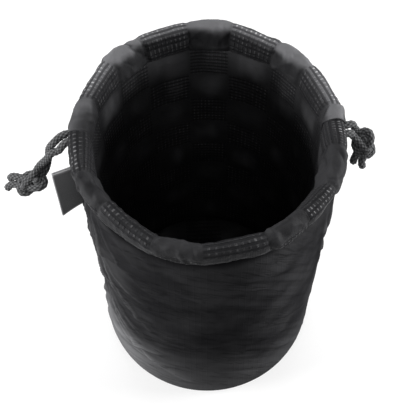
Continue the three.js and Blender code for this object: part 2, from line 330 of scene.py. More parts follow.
def clothTone(place, fold, deep, pale, wear):  # slow unevenness of a dyed cloth, paler by the fold value, which holds wear and painted light
    slow = ramp(noise(place, 38, 3, 0.55), 0.32, 0.7)
    share = mathNode("MINIMUM", slow * 0.12 + ramp(fold, 0.15, 1.0) * wear, 1.0)
    return mixColour(share, deep, pale), slow


def fromMiddle(part):  # distance from the middle of each repeat
    return mathNode("ABSOLUTE", mathNode("FRACT", part) - 0.5)


def plainWeave(place, thread, rip):  # over and under threads and thicker lines, in millimetres
    parts = split(place)
    waves = [mathNode("SINE", part / thread * math.pi) for part in parts]
    lines = [ramp(fromMiddle(part / rip), 0.36, 0.47) for part in parts]
    return [waves[0] * waves[1] * 0.35 + mathNode("MAXIMUM", lines[0], lines[1] * 0.55)]


def checkWeave(place, rows, columns):  # satin squares and squares of raised floats in turn, a map unit each
    across, along = split(place)
    ribbed = 1.0 - mathNode("FLOORED_MODULO", mathNode("FLOOR", across) + mathNode("FLOOR", along), 2.0)
    for part in (across, along):  # soft margin of each square
        ribbed = ribbed * ramp(0.5 - fromMiddle(part), 0.005, 0.035)
    fullTurn, satinThreads = 2 * math.pi, 42
    narrow = ramp(mathNode("COSINE", across * columns * fullTurn), 0.1, 0.9)
    longer = ramp(mathNode("COSINE", along * rows * fullTurn), -0.6, 0.4)
    raised = narrow * longer * ribbed
    satin = mathNode("SINE", across * (fullTurn * satinThreads)) * 0.06 * (1.0 - ribbed)
    sunk = (1.0 - longer) * ribbed
    return ribbed, raised, sunk, raised + satin - sunk * 0.5


def creaseLines(arch, around, beside, crisp, slack):  # painted highlight and painted shade lines beside the folds, finer painted shade lines on the arches, and a height
    def lineAt(value, middle, width):
        return ramp(mathNode("ABSOLUTE", value - middle), 0.0, width, 1.0, 0.0)

    lit = lineAt(beside, 0.6, 1.3) * crisp
    dark = lineAt(beside, -1.1, 1.4) * crisp
    fine = []
    for apart, length in ((3.4, 17.0), (2.1, 12.0)):
        place = nodeWire(arch.tree, "CombineXYZ", 0, {0: around / length, 1: arch / apart, 2: apart})
        shown = ramp(noise(place, 0.45, 1), 0.46, 0.6)
        fine.append(lineAt(noise(place, 1.0, 1), 0.5, 0.06) * shown)
    thin = mathNode("MAXIMUM", *fine) * slack
    return lit, mathNode("MAXIMUM", dark, thin) * 0.6, lit * 0.5 - thin


toneGroup = makeGroup("clothTone", {"Place": None, "Fold": 0.0, "Deep": (0.02, 0.02, 0.02),
                                    "Pale": (0.04, 0.04, 0.04), "Wear": 0.5}, ("Color", "Mottle"), clothTone)
weaveGroup = makeGroup("plainWeave", {"Map": None, "Thread": 0.5, "Rip": 4.0}, ("Height",), plainWeave)
checkGroup = makeGroup("checkWeave", {"Map": None, "Rows": 8.0, "Columns": 7.0},
                       ("Ribbed", "Float", "Sunk", "Height"), checkWeave)
creaseInputs = ("Arch", "Around", "Beside", "Crisp", "Slack")
creaseGroup = makeGroup("creaseLines", dict.fromkeys(creaseInputs, 0.0),
                        ("Lit", "PaintedShade", "Height"), creaseLines)


# Materials: each has its look, and a function that gives the colour, roughness and height

def toneOf(tree, look):
    return useGroup(tree, toneGroup, Place=objectPlace(tree), Fold=stored(tree, "fold"),
                    Deep=look["deep"], Pale=look["pale"], Wear=look["wear"])


def weaveOf(tree, look):
    return useGroup(tree, weaveGroup, Map=clothPlace(tree), Thread=look["thread"], Rip=look["rip"])["Height"]


nylonLook = {"deep": (0.0152, 0.0152, 0.0163), "pale": (0.18, 0.18, 0.186), "dark": (0.004, 0.004, 0.0044),
             "wear": 1.0, "thread": 0.42, "rip": 2.3, "specular": 0.0, "bump": 0.00006, "strength": 0.7}


def shellNylon(tree, look):
    tone = toneOf(tree, look)
    creases = useGroup(tree, creaseGroup, **{label: stored(tree, label.lower()) for label in creaseInputs})
    # painted highlight lines beside the folds
    lit = mixColour(creases["Lit"] * 0.2, tone["Color"], look["pale"])
    # painted shade under the collar's hem and along the crease lines
    paintedShadeShare = mathNode("MAXIMUM", stored(tree, "shade"), creases["PaintedShade"]) * 0.8
    grain = noise(objectPlace(tree), 420, 3, 0.6) * 0.5
    rough = tone["Mottle"] * 0.1 + (grain * 0.12 + 0.36)
    height = weaveOf(tree, look) * 0.6 + grain + creases["Height"] * 2.5
    return mixColour(paintedShadeShare, lit, look["dark"]), rough, height


liningClothLook = {"deep": (0.0142, 0.0142, 0.0152), "pale": (0.132, 0.132, 0.138), "wear": 0.9,
                   "dark": (0.008, 0.008, 0.009), "floats": (0.44, 0.44, 0.45), "rows": 8.0, "columns": 10.0,
                   "specular": 0.04, "bump": 0.00035, "strength": 0.9}


def liningCloth(tree, look):
    checks = useGroup(tree, checkGroup, Map=clothPlace(tree), Rows=look["rows"], Columns=look["columns"])
    tone = toneOf(tree, look)
    # painted glints: the floats are mixed towards a pale colour by the glint value and a noise
    glints = ramp(noise(objectPlace(tree), 260, 1, 0.5), 0.4, 0.66, 0.12, 1.0)
    shown = checks["Float"] * glints * stored(tree, "glint")
    # painted shade in the sunk rows between the floats and in the collar's creases
    sunkAndCreaseShade = mathNode("MINIMUM", checks["Sunk"] * 0.6 + stored(tree, "shade") * 0.6, 1.0)
    lined = mixColour(sunkAndCreaseShade, tone["Color"], look["dark"])
    rough = checks["Ribbed"] * 0.12 + 0.5 - checks["Float"] * 0.3
    grain = noise(objectPlace(tree), 900, 2, 0.6) * 0.3 + noise(objectPlace(tree), 330, 2, 0.5) * 1.2
    return mixColour(shown, lined, look["floats"]), rough, checks["Height"] + grain


cordClothLook = {"deep": (0.006, 0.0062, 0.0066), "pale": (0.115, 0.117, 0.121), "wear": 0.95,
                 "specular": 0.2, "sheen": 0.06, "bump": 0.00008, "strength": 0.7}


def braidedCord(tree, look):
    across, along = split(clothPlace(tree))
    yarn = mathNode("SINE", (across + along * 0.9) * 26.0)
    tone = toneOf(tree, look)
    return tone["Color"], tone["Mottle"] * 0.15 + 0.48, yarn * 0.5 + noise(objectPlace(tree), 1500, 2, 0.6)


labelClothLook = {"deep": (0.033, 0.034, 0.037), "pale": (0.33, 0.33, 0.34), "wear": 0.9, "rib": 0.55,
                  "cross": 0.4, "specular": 0.35, "sheen": 0.15, "bump": 0.00007, "strength": 0.8}


def wovenLabel(tree, look):
    across, along = split(clothPlace(tree))
    ribs = mathNode("SINE", along * (2 * math.pi / look["rib"]))
    cross = mathNode("SINE", across * (2 * math.pi / look["cross"]))
    tone = toneOf(tree, look)
    return tone["Color"], tone["Mottle"] * 0.12 + 0.52, ribs * (cross * 0.3 + 0.7)


foamLook = {"deep": (0.045, 0.045, 0.05), "pale": (0.07, 0.07, 0.076), "cells": 1300,
            "specular": 0.25, "bump": 0.0002, "strength": 0.7}


def paddingFoam(tree, look):
    cells = {"Vector": objectPlace(tree), "Scale": look["cells"]}
    slow = ramp(noise(objectPlace(tree), 60, 3), 0.3, 0.7)
    height = nodeWire(tree, "TexVoronoi", "Distance", cells)
    return mixColour(slow, look["deep"], look["pale"]), slow * 0.08 + 0.82, height


tapeClothLook = {"deep": (0.014, 0.014, 0.016), "pale": (0.03, 0.03, 0.033), "thread": 0.6, "rip": 1.2,
                 "specular": 0.3, "bump": 0.0001, "strength": 0.8}


def seamTape(tree, look):  # flat, so without the paler folds
    tone = useGroup(tree, toneGroup, Place=objectPlace(tree), Deep=look["deep"], Pale=look["pale"])
    return tone["Color"], tone["Mottle"] * 0.1 + 0.65, weaveOf(tree, look)


def newMaterial(name, values):
    made = bpy.data.materials.new(name)
    made.use_nodes = True
    shader = made.node_tree.nodes["Principled BSDF"]
    for label, value in values.items():
        setSocket(made.node_tree, shader.inputs[label], value)
    return made, made.node_tree, shader


def clothMaterial(build, look):
    made, tree, shader = newMaterial(build.__name__, {
        "Specular IOR Level": look["specular"], "Sheen Weight": look.get("sheen", 0.0),
        "Sheen Roughness": 0.4})
    colour, rough, height = build(tree, look)
    bump = {"Distance": look["bump"], "Strength": look["strength"], "Height": height}
    results = {"Base Color": colour, "Roughness": rough, "Normal": nodeWire(tree, "Bump", "Normal", bump)}
    for label, value in results.items():
        setSocket(tree, shader.inputs[label], value)
    return made


slotMaterials = {
    "shell_nylon": clothMaterial(shellNylon, nylonLook),
    "lining_cloth": clothMaterial(liningCloth, liningClothLook),
    "braided_cord": clothMaterial(braidedCord, cordClothLook),
    "woven_label": clothMaterial(wovenLabel, labelClothLook),
    "padding_foam": clothMaterial(paddingFoam, foamLook),
    "seam_tape": clothMaterial(seamTape, tapeClothLook),
}
print("materials made")


def dress(obj, slotName, *nodes):
    obj.data.materials.clear()
    obj.data.materials.append(slotMaterials[slotName])
    makeActive(obj)
    bpy.ops.object.shade_smooth()
    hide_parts(*nodes)


# Cords: each end leaves the collar, goes through its knot and ends in a cut tail
cordLook = {"diameter": 2.9, "sides": 42, "step": 0.21, "braidTurn": 1.9, "strands": 6, "relief": 0.1}


def braidTube(name, line, look):  # line in metres
    points, length = evenly(line, look["step"] * mm)
    rings = len(points)
    obj, side, v = flatCloth(name, look["sides"], rings - 1)
    ring = np.rint(v * (rings - 1)).astype(int)
    ahead = np.gradient(points, axis=0)
    ahead /= np.linalg.norm(ahead, axis=1)[:, None]
    first = np.cross(ahead[0], (0.0, 0.0, 1.0))
    normals = carriedAlong(first / np.linalg.norm(first), ahead[1:])
    beside = np.cross(ahead, normals)
    along, phase = v * length / mm, 2 * math.pi * side
    weave = np.cos(look["strands"] * phase) * np.cos(2 * math.pi * along / look["braidTurn"])
    radius = look["diameter"] / 2 * mm * (1 - look["relief"] + look["relief"] * weave)
    fromCut = np.minimum(along, length / mm - along)  # the cut ends draw in
    radius = radius * (0.72 + 0.28 * np.sqrt(np.clip(fromCut / 0.5, 0, 1)))
    outward = np.cos(phase)[:, None] * beside[ring] + np.sin(phase)[:, None] * normals[ring]
    writePoints(obj, points[ring] + radius[:, None] * outward)
    clothMap(obj, side * math.pi * look["diameter"], along)
    # paler on the raised strands: wear and painted highlight
    pointValues(obj, "fold", 0.5 + 0.5 * weave)
    makeActive(obj)
    bpy.ops.object.mode_set(mode="EDIT")
    bpy.ops.mesh.select_all(action="SELECT")
    bpy.ops.mesh.remove_doubles(threshold=1e-6)
    bpy.ops.mesh.select_all(action="DESELECT")
    bpy.ops.mesh.select_non_manifold(extend=False)
    bpy.ops.mesh.edge_face_add()
    bpy.ops.mesh.select_all(action="SELECT")
    bpy.ops.mesh.normals_make_consistent(inside=False)
    bpy.ops.object.mode_set(mode="OBJECT")
    return obj, points, length


knotTies = {  # millimetres from the exit: out to the side, towards the back, and up
    "left": {"side": -1, "lane": 145.25, "middle": (15.55, -6.83, -18.14), "axis": (8.6, 0.1, -12.3),
             "roll": 343.0, "pairStart": 190.0, "scale": (1.1, 1.06, 0.34), "tail": 4.0,
             "front": [(2.8, -2.4, -2.1), (3.9, -2.6, -4.0), (6.6, -2.6, -5.8), (9.1, -2.7, -9.9)],
             "back": [(2.7, 1.3, -0.8), (5.7, 0.1, -3.3), (7.7, 0.4, -7.5), (8.7, 0.1, -13.4)]},
    "right": {"side": 1, "lane": 142.25, "middle": (8.05, -1.55, -7.98), "axis": (1.8, -1.1, -8.3),
              "roll": 206.6, "pairStart": 205.0, "scale": (0.92, 0.92, 0.31), "tail": 3.0,
              "front": [(2.8, -1.0, -1.1)], "back": [(3.6, 2.6, -0.9)]},
}
pairLook = {"apart": 1.4, "eases": 2, "entry": 2.06, "splay": 0.5, "samples": 181, "thin": 5}
leadPoints = [(7.2, 0), (4.5, 0.5), (2.0, 2.0), (1.5, 4.4)]  # in the tunnel: along it and outward


def knotPath(tie, half):  # an overhand knot tied with both cords side by side, along its own Z
    t = np.linspace(-pairLook["entry"], pairLook["entry"], pairLook["samples"])
    scale = np.array(tie["scale"])
    middle = scale * np.stack([t ** 3 - 3 * t, t ** 4 - 4 * t ** 2 + 2, t ** 5 - 10 * t], axis=1)
    ahead = scale * np.stack([3 * t ** 2 - 3, 4 * t ** 3 - 8 * t, 5 * t ** 4 - 10], axis=1)
    ahead /= np.linalg.norm(ahead, axis=1)[:, None]
    beside = carriedAlong(np.array([1.0, 0, 0]), ahead)[1:]
    turn = math.radians(tie["pairStart"])
    offset = beside * math.cos(turn) + np.cross(ahead, beside) * math.sin(turn)
    path = (middle + half * pairLook["apart"] * offset)[::pairLook["thin"]]
    for _ in range(pairLook["eases"]):
        path[1:-1] = path[1:-1] / 2 + (path[:-2] + path[2:]) / 4
    leave = (path[-1] - path[-2]) / np.linalg.norm(path[-1] - path[-2])
    tails = []
    for way in (0.5, 1.0):
        outward = leave * (1 - 0.7 * way) + np.array([0, 0, 0.3 + 0.7 * way])
        reach = outward / np.linalg.norm(outward) * tie["tail"] * way
        tails.append(path[-1] + reach + half * pairLook["splay"] * way * offset[-1])
    return np.concatenate([path, tails])


def cordRoute(tie, hand):  # the same route as the CAD's
    side, half = tie["side"], 1 if hand == "back" else -1
    away = math.radians(exitTurn if side > 0 else leftExit)

    def inTunnel(arc, outward):
        angle, radius = away + side * half * arc / tunnel["radius"], tunnel["radius"] + outward
        return np.array([radius * math.cos(angle), radius * math.sin(angle), tie["lane"]])

    exitPoint = inTunnel(0, tunnel["outside"])
    points = [inTunnel(arc, outward) for arc, outward in leadPoints]
    points += [exitPoint + np.array([side * out, back, up]) for out, back, up in tie[hand]]
    axis = Vector(tie["axis"]).normalized()
    axis.x *= side
    turned = Quaternion(axis, math.radians(tie["roll"])) @ Vector((0, 0, 1)).rotation_difference(axis)
    out, back, up = tie["middle"]
    middle = Vector(exitPoint) + Vector((side * out, back, up))
    place = Matrix.Translation(middle) @ turned.to_matrix().to_4x4()
    knotStart = len(points)
    points += [np.array(place @ Vector(point)) for point in knotPath(tie, half)]
    return roundCurve(points, 12) * mm, exitPoint * mm, points[knotStart] * mm


for sideName, tie in knotTies.items():
    for hand in ("front", "back"):
        line, exitPoint, knotEntry = cordRoute(tie, hand)
        cordEnd, path, cordLength = braidTube(f"{sideName}_{hand}_cord", line, cordLook)
        nodes = [f"{sideName}_{hand}_strand"] + ([f"{sideName}_knot"] if hand == "front" else [])
        dress(cordEnd, "braided_cord", *nodes)
        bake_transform(cordEnd)
        print("cord", cordEnd.name, round(float(cordLength) / mm, 1), "mm")

# The cords' runs inside the collar's tunnel
runLook = {"diameter": 2.6, "sides": 14, "step": 0.7, "braidTurn": 1.9, "strands": 4, "relief": 0.07,
           "lead": 7.5, "meet": 0.15, "samples": 220}  # arcs free at its own exit and the far one
leadTurn, meetTurn = (math.degrees(runLook[key] / tunnel["radius"]) for key in ("lead", "meet"))
for sideName, part, begin, stop in (
        ("left", "front", leftExit + leadTurn, rightExit - meetTurn),
        ("left", "back", exitTurn + meetTurn, leftExit - leadTurn),
        ("right", "front", leftExit + meetTurn, rightExit - leadTurn),
        ("right", "back", exitTurn + leadTurn, leftExit - meetTurn)):
    line = aroundZ(np.linspace(begin, stop, runLook["samples"]), tunnel["radius"], knotTies[sideName]["lane"])
    run, _, _ = braidTube(f"{sideName}_cord_{part}_in_tunnel", line, runLook)
    dress(run, "braided_cord", f"{sideName}_cord_{part}_run")
    drawWithMouth(run)
print("cords in the tunnel made")


# Collar: a tunnel of checked cloth rolled out over the rim, in halves between the cord exits
collarLook = {"middle": 145.0, "halfWidth": 4.0, "halfHeight": 5.0, "square": 16.5, "ribs": 8,
              "columns": 300, "rows": 56, "thickness": 0.45, "puff": 0.32, "crease": 0.4, "creaseWidth": 0.9,
              "seed": 21, "outward": 0.25, "seamGap": 0.03, "closed": 0.99, "slack": 1.04, "seam": 2.0}
# pale, crest and glint set painted light, stronger on the back half: paler puffs, a painted light on the back
# crest, painted glints
collarHalves = {  # where the squares' corners lie, and how the halves differ
    "front": {"corners": [leftExit, 197.7, 215.9, 244.6, 264.8, 293.4, 312.3, 330.0, 350.3, rightExit],
              "firstSquare": 0, "flat": 0.7, "lift": 0.8, "lean": 11, "wrinkle": 0.6, "mostIn": 0.7,
              "thin": 1.0, "pale": 0.1, "crest": 0.0, "glint": 0.65},
    "back": {"corners": [exitTurn, 10.8, 33.5, 51.8, 75.6, 96.3, 119.4, 138.3, 159.3, leftExit],
             "firstSquare": 9, "flat": 1.0, "lift": 0.45, "lean": 6, "wrinkle": 0.42, "mostIn": 0.9,
             "thin": 0.35, "pale": 0.5, "crest": 0.95, "glint": 1.0},
}


def collarSection(turn):  # across and up, from -1 to 1, for a turn from the outside over the crest
    swell = np.where(np.sin(turn) < 0, np.where(np.cos(turn) < 0, 0.22, 0.5), 0.88)
    return tuple(np.sign(way) * np.abs(way) ** swell for way in (np.cos(turn), np.sin(turn)))


sectionTurns = np.radians(np.linspace(-135, 225, 1441))
sectionAcross, sectionUp = collarSection(sectionTurns)
sectionSteps = np.hypot(np.diff(sectionAcross) * collarLook["halfWidth"],
                        np.diff(sectionUp) * collarLook["halfHeight"])
sectionArc = np.concatenate([[0], np.cumsum(sectionSteps)])
crestEdgeArc = np.interp(math.radians(198), sectionTurns, sectionArc)  # where the crest's squares end inside


def collarHalf(part):
    look, half, isFront = collarLook, collarHalves[part], part == "front"
    corners = np.array(half["corners"])
    counts = len(corners) - 1
    rng = np.random.default_rng(look["seed"] + (0 if isFront else 1))
    obj, u, v = flatCloth(f"collar_{part}", look["columns"], look["rows"])
    arc = look["seamGap"] + v * (sectionArc[-1] - 2 * look["seamGap"])
    turn = np.interp(arc, sectionArc, sectionTurns)
    across, up = collarSection(turn)
    upright = np.sin(turn)

    def pastTurn(begin, stop):
        return smoothStep(math.radians(begin), math.radians(stop), turn)

    # the ends close over the cords on the crest and inside, and leave a hole outside
    closed = look["closed"] * (1 - pastTurn(190, 215))
    leftGap = slitTurn * (1 - pastTurn(24, 48) * closed)
    rightGap = slitTurn * (1 - pastTurn(-14, 10) * closed)
    startAngle = corners[0] + (leftGap if isFront else rightGap)
    stopAngle = corners[-1] - (rightGap if isFront else leftGap)
    angle = startAngle + (stopAngle - startAngle) * u
    fromEnd = np.minimum(angle - corners[0], corners[-1] - angle)
    square = np.clip(np.searchsorted(corners, angle, side="right") - 1, 0, counts - 1)
    width = corners[square + 1] - corners[square]
    inSquare = (angle - corners[square]) / width
    isRibbed = (square + half["firstSquare"]) % 2 == 0
    # straight sides between the squares' corners
    halfWidth = np.radians(width / 2)
    chordRadius = tunnel["radius"] * np.cos(halfWidth) / np.cos(halfWidth * (2 * inSquare - 1))
    flatness = np.where(isRibbed, 0.75, 0.5) * half["flat"]
    radius = tunnel["radius"] + (chordRadius - tunnel["radius"]) * flatness + look["outward"]

    # each square puffs, rises and leans a little in its own way
    def atCorners(size):
        values = np.concatenate([[0.0], rng.uniform(-1, 1, counts - 1), [0.0]])
        return np.interp(angle, corners, values) * size

    bulge = np.sin(math.pi * np.clip(inSquare, 0, 1)) ** 0.7
    puffs = rng.uniform(0.5, 1.2, counts)[square] * np.where(isRibbed, 0.25, 1.0) * look["puff"]
    lifts = atCorners(half["lift"])
    leans = atCorners(math.radians(half["lean"]))
    edge = np.radians(np.minimum(inSquare, 1 - inSquare) * width) * tunnel["radius"]
    isInner = np.radians(fromEnd) * tunnel["radius"] > 6
    creaseShares = rng.uniform(0.5, 1.3, counts + 1)[np.where(inSquare < 0.5, square, square + 1)]
    crease = look["crease"] * bell(edge, look["creaseWidth"]) * isInner * creaseShares

    # wrinkles, gathers and sharp creases of the cloth, in millimetres
    along = np.radians(angle) * tunnel["radius"]

    def cloth(x, y, nth):
        return softNoise(x, y, look["seed"] + nth)

    wrinkles = 0.7 - np.abs(cloth(along / 2.9 + arc / 9, arc / 11.0, 8))
    wrinkles = wrinkles - np.abs(cloth(along / 5.3 - arc / 6, arc / 8.0, 10))
    gathers = cloth(along / 1.7, arc / 7.0, 3) * 0.2 * np.exp(-edge / 4.5) + wrinkles * half["wrinkle"]
    gathers += cloth(along / 5.0 + arc / 9, arc / 5.0, 4) * 0.42 + cloth(along / 9.0, arc / 12.0, 7) * 0.5
    sharp = bell(cloth(along / 6.0 + arc / 6.5, arc / 11 - along / 19, 11), 0.1)
    sharp = sharp * smoothStep(-0.1, 0.35, cloth(along / 8.0, arc / 6.0, 12))
    sharp = sharp * np.where(isRibbed, 0.2, 1.0) * smoothStep(-0.7, 0.2, upright)
    hem = bell(turn - math.radians(-48), 0.45)
    pucker = cloth(along / 4.2, 3.3, 5) * 0.18 + cloth(along / 11.0, 8.1, 6) * 0.35
    swell = puffs * bulge - crease - 0.4 * sharp + gathers * np.where(isRibbed, 0.45, 1.0)
    swell = swell * (0.25 + 0.75 * smoothStep(-1.0, 0.1, upright)) + hem * pucker
    down = (crestEdgeArc - arc) / look["square"]
    ribs = 0.05 * isRibbed * smoothStep(0, 1.5, edge) * np.cos(2 * math.pi * down * look["ribs"])
    swell = np.maximum(swell + ribs + cloth(along / 1.5, arc / 2.4, 9) * 0.1, -half["mostIn"])

    # the section swells, thins towards the front, leans and rises
    outR, outZ = across / look["halfWidth"], up / look["halfHeight"]
    size = np.hypot(outR, outZ) + 1e-9
    dr = across * look["halfWidth"] + swell * outR / size
    dz = up * look["halfHeight"] + swell * outZ / size
    thin = smoothStep(4, 26, fromEnd) * half["thin"]
    dz = np.where(dz < 0, dz * (1 - 0.5 * thin * smoothStep(-0.5, 2.0, dr)), dz)  # a higher hem
    dr = np.where(dr < 0, dr * (1 - 0.45 * thin * smoothStep(-4, 2, dz)), dr)
    leaning = leans * smoothStep(-0.9, 0.4, upright)
    fromFoot = dz + look["halfHeight"]
    rolledR = dr * np.cos(leaning) - fromFoot * np.sin(leaning)
    foot = look["middle"] - look["halfHeight"]
    z = foot + fromFoot * np.cos(leaning) + dr * np.sin(leaning) + lifts * smoothStep(-0.6, 0.6, upright)
    writePoints(obj, aroundZ(angle, radius + rolledR, np.maximum(z, foot + 0.05 - 0.9 * hem)))
    clothMap(obj, half["firstSquare"] + square + inSquare, down)
    # painted light along the back half's crest, fading towards the left exit
    crest = half["crest"] * bell(turn - math.radians(80), 0.8) * (1 - 0.6 * smoothStep(140, 172, angle))
    # paler puffs as a painted highlight, plus the painted crest light
    pointValues(obj, "fold", np.clip(swell * 0.7, 0, 1) * half["pale"] + crest)
    # painted shade in the sharp creases
    pointValues(obj, "shade", sharp)
    # painted glints on the floats, brightest on the outer crest where light falls and weakest at the front
    lightFrom = 0.1 + 0.9 * bell(turn - math.radians(66), 0.4)
    pointValues(obj, "glint", lightFrom * half["glint"] * (1 - 0.85 * bell(angle - 262, 62)))
    thicken(obj, look["thickness"])
    return obj, corners[-1] - corners[0] - 2 * slitTurn


for part in collarHalves:
    collar, reach = collarHalf(part)
    dress(collar, "lining_cloth", f"{part}_collar")
    drawWithMouth(collar)
print("collar made")


# Shell: one tube of thin nylon, slack over the padding, cut at its two side seams
shellLook = {"frontColumns": 220, "backColumns": 236, "rows": 184, "thickness": 0.5, "seed": 5,
             "backFolds": 22, "mostOut": 2.4, "mostIn": 0.4, "crest": 252.0, "leftFall": 58.0,
             "rightFall": 80.0, "hemRise": 2.3, "bottomRows": [0.6, 1.2, 1.9, 2.8, 3.8, 4.9, 6.0]}
pullLines = [  # angle and height along each fold, then its height and width in millimetres
    ([(188, 118), (191, 102), (195, 84), (204, 72.6), (214, 61.7), (226, 55.9), (240, 53.7)], 1.3, 0.9),
    ([(203, 136), (206, 126), (208, 108), (214, 88.5), (226, 75.5), (236, 64), (250, 58),
      (271, 61), (285, 62)], 1.0, 0.9),
    ([(186, 96), (190, 76), (197, 60), (207, 51), (219, 46), (233, 46)], 1.3, 0.9),
    ([(188, 134), (195, 122), (199, 104), (204, 88), (212, 76)], 1.2, 0.9),
    ([(186, 40), (196, 35), (208, 37), (219, 35.4), (236, 39.5), (252, 46)], 1.2, 1.1),
    ([(196, 22), (209, 26), (225, 30.5), (242, 28), (256, 20), (271, 18)], 0.9, 3.0),
    ([(190, 62), (199, 50), (212, 42), (228, 36), (246, 24)], 1.1, 0.9),
    ([(198, 128), (205, 112), (216, 98), (230, 90), (246, 88)], 0.9, 0.8),
    ([(190, 108), (200, 90), (213, 79), (228, 71), (244, 68)], 1.0, 0.8),
    ([(193, 72), (203, 62), (217, 55), (234, 50), (252, 52)], 1.0, 0.8),
    ([(210, 133), (219, 117), (232, 108), (248, 104)], 0.7, 0.8),
    ([(222, 139), (230, 128), (238, 121)], 0.8, 2.0),
    ([(236, 138), (241, 130), (247, 125)], 0.6, 1.7),
    ([(192, 86), (210, 104), (227, 115), (247, 116.7), (258, 113), (279, 101.5), (303, 82),
      (329, 51), (340, 42)], 0.55, 1.6),
    ([(219, 102), (241, 106), (260, 103), (280, 90)], 0.45, 1.6),
    ([(232, 84), (252, 88), (272, 83), (290, 72)], 0.35, 1.5),
    ([(240, 72), (262, 74), (284, 66), (304, 52)], 0.4, 1.4),
    ([(345, 104), (327, 116), (313, 125), (294, 130.6), (274, 134)], 0.7, 1.8),
    ([(346, 90), (328, 98.5), (305, 116), (286, 121), (270, 123)], 0.7, 1.7),
    ([(330, 133), (332, 115), (334, 92), (338, 70)], 1.2, 1.8),
    ([(341, 136), (341, 118), (344, 98), (347, 80)], 1.1, 1.6),
    ([(350, 131), (346, 112), (345, 95)], 1.0, 1.8),
    ([(343, 40), (329, 51), (304, 69), (284, 69), (266, 62)], 0.7, 1.7),
    ([(343, 24), (325, 38), (306, 50), (290, 56), (270, 56)], 0.6, 1.7),
    ([(342, 10), (325, 20), (302, 34.7), (280, 45), (256, 42)], 0.6, 2.2),
]
rng = np.random.default_rng(shellLook["seed"])
for _ in range(shellLook["backFolds"]):  # the back isn't seen, and gets folds of the same kind
    ranges = ((0, 180), (36, 90), (16, 130), (-18, 18), (2, 14), (0.5, 1.3), (1.5, 2.4))
    middle, span, height, slope, sag, tall, wide = (rng.uniform(*each) for each in ranges)
    ticks = np.linspace(-1, 1, 6)
    places = [(middle + span / 2 * t, height + slope * t + sag * (1 - t * t)) for t in ticks]
    pullLines.append((places, tall, wide))


def nearLine(path, x, z):  # distance from a line, the place along it from 0 to 1, and the side of it
    best, share, above = np.full(len(x), 1e9), np.zeros(len(x)), np.ones(len(x))
    turnLength, margin = 2 * math.pi * clothRadius, 12
    for shift in (-turnLength, 0, turnLength):
        near = (x + shift > path[:, 0].min() - margin) & (x + shift < path[:, 0].max() + margin)
        near &= (z > path[:, 1].min() - margin) & (z < path[:, 1].max() + margin)
        if not near.any():
            continue
        u, h, gap, at, over = x[near] + shift, z[near], best[near], share[near], above[near]
        for i, (p, q) in enumerate(zip(path, path[1:])):
            dx, dy = q - p
            t = np.clip(((u - p[0]) * dx + (h - p[1]) * dy) / (dx * dx + dy * dy), 0, 1)
            away = np.hypot(u - p[0] - t * dx, h - p[1] - t * dy)
            nearer = away < gap
            gap[nearer], at[nearer] = away[nearer], ((i + t) / (len(path) - 1))[nearer]
            over[nearer] = (((h - p[1]) * dx - (u - p[0]) * dy) * np.sign(dx) >= 0)[nearer]
        best[near], share[near], above[near] = gap, at, over
    return best, share, above > 0.5


def foldRelief(angle, z):  # how far the folds stand out, the distance to the nearest one, and how crisp it is
    total, crisp = np.zeros_like(angle), np.zeros_like(angle)
    nearest, beside = np.full(len(angle), 1e9), np.full(len(angle), 9.0)
    for line, tall, wide in pullLines:
        path = roundCurve([(alongCloth(a), h, 0) for a, h in line], 4)[:, :2]
        best, share, above = nearLine(path, alongCloth(angle), z)
        taper = smoothStep(0, 0.18, np.minimum(share, 1 - share))
        slope = wide * np.where(above, 2.0, 1.2)  # steep under the fold, with a long slope above it
        total += tall * taper * (bell(best, slope) - 0.25 * bell(best, 2.8 * wide))
        closer = (best < nearest) & (taper > 0.02)
        nearest[closer] = best[closer]
        beside[closer] = np.where(above, best, -best)[closer]
        crisp[closer] = (taper * min(tall, 1.0) * (wide < 1.2))[closer]
    return total, np.clip(beside, -9, 9), crisp


# the whole tube as one grid, from which both panels are cut
wallTop, bottomRows = wall["top"], shellLook["bottomRows"]
sideRows = np.linspace(wall["edgeRound"], wallTop, shellLook["rows"] - 5)[1:]
rowHeights = np.concatenate([bottomRows, sideRows])
columnAngles = np.concatenate([
    np.linspace(leftSeam, rightSeam, shellLook["frontColumns"] + 1)[:-1],
    np.linspace(rightSeam, 360 + leftSeam, shellLook["backColumns"] + 1)[:-1]])
gridAngle, gridHeight = (a.ravel() for a in np.meshgrid(columnAngles, rowHeights))
facing, aroundWall = gridAngle % 360, alongCloth(gridAngle)
nearEnds = smoothStep(2, 14, gridHeight) * (1 - smoothStep(wallTop - 7, wallTop - 1, gridHeight))
fromCrest = (gridAngle - shellLook["crest"] + 90) % 180 - 90  # the nylon hangs in arches from a crest
fromFoot = 90 - np.abs(fromCrest)
fall = np.where(fromCrest < 0, shellLook["leftFall"], shellLook["rightFall"])
arches = gridHeight + fall * (fromCrest / 90) ** 2
calm = 1 - 0.5 * bell(gridAngle - 268, 38)  # smoother in front
atLeft = smoothStep(178, 186, facing) * (1 - smoothStep(190, 210, facing))  # the left outline
waves = ((2.3, 0, 24, 31, 0.16), (4.6, 7, 38, 32, 0.34), (1.3, 0, 13, 33, 0.06))
crinkle = sum(softNoise(arches / apart + start, aroundWall / length, seed) * tall
              for apart, start, length, seed, tall in waves)
crinkle = calm * (crinkle + softNoise(aroundWall / 17, gridHeight / 30, 34) * 0.45)
relief, besideFold, crispFold = foldRelief(gridAngle, gridHeight)
pulled = relief * (1 - 0.6 * atLeft) * (0.4 + 0.6 * calm)
stands = (pulled + crinkle * (0.3 + 0.7 * smoothStep(2, 30, fromFoot))) * nearEnds + 0.15 * nearEnds
stands = np.clip(stands, -shellLook["mostIn"], shellLook["mostOut"])
print("shell folds stand out", np.percentile(stands, [1, 25, 50, 75, 99]).round(2).tolist())
